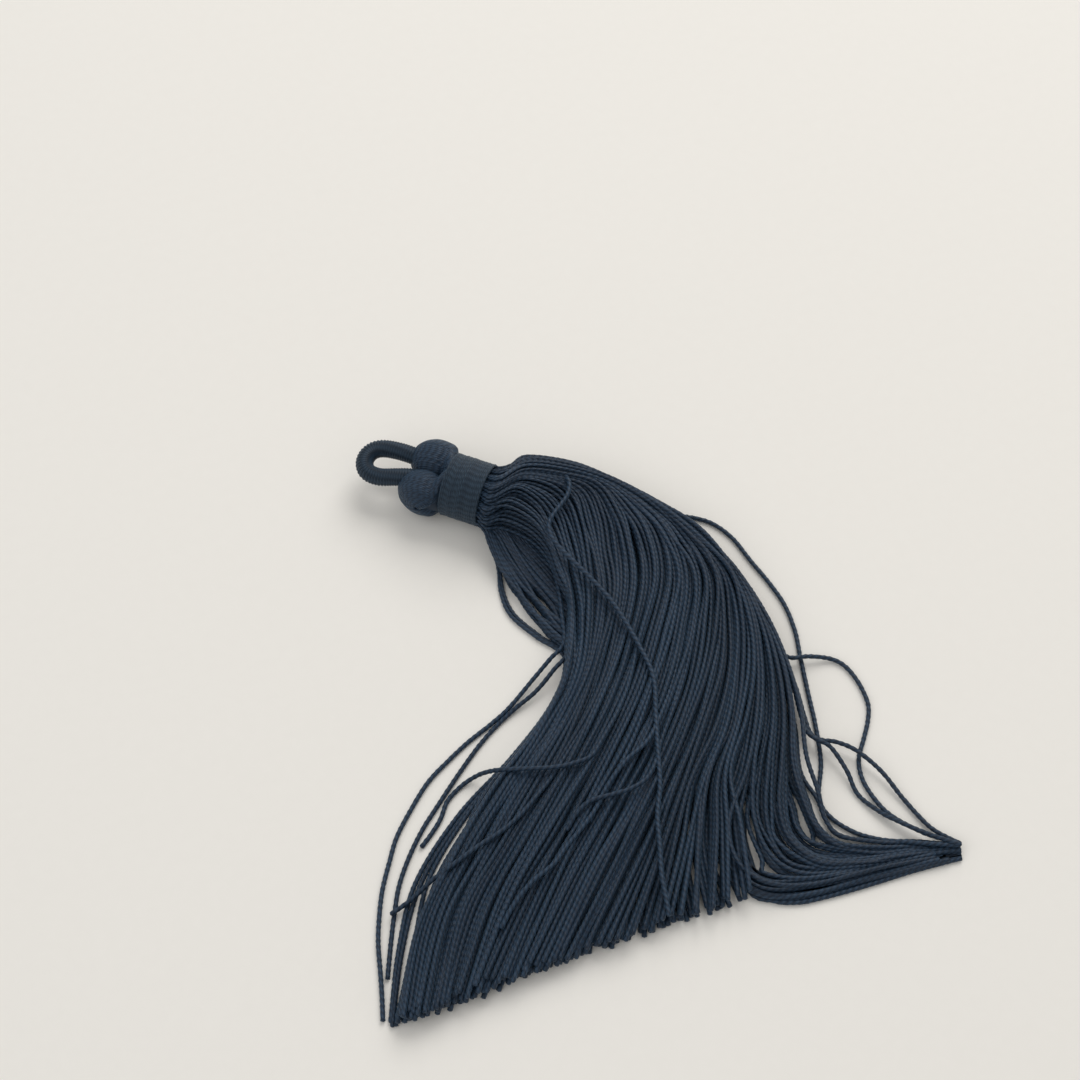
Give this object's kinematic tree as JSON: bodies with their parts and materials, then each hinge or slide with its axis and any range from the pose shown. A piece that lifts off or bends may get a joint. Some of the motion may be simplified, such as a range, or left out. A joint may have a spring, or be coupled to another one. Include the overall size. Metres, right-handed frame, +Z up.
{
  "type": "tassel",
  "caption": "Silky navy thread tassel lying on its side: folded head with a wound cord loop, bound neck and a fringe that sweeps out in a curve.",
  "frame": {"origin": "on the surface that the tassel lies on, under the middle of its bounding box", "axes": "+Y from the cut ends of the fringe towards the hanging loop, +X across the fringe to the right as seen from above, +Z up from the surface"},
  "size_m": [0.0494, 0.0558, 0.0056],
  "materials": {
    "skein_thread": "silky twisted thread",
    "wrap_thread": "close winding of silky thread",
    "loop_thread": "cord wound with fine silky thread"
  },
  "bodies": {
    "root": {"skein": "skein_thread", "neck_wrap": "wrap_thread", "hanging_loop": "loop_thread"}
  },
  "joints": []
}
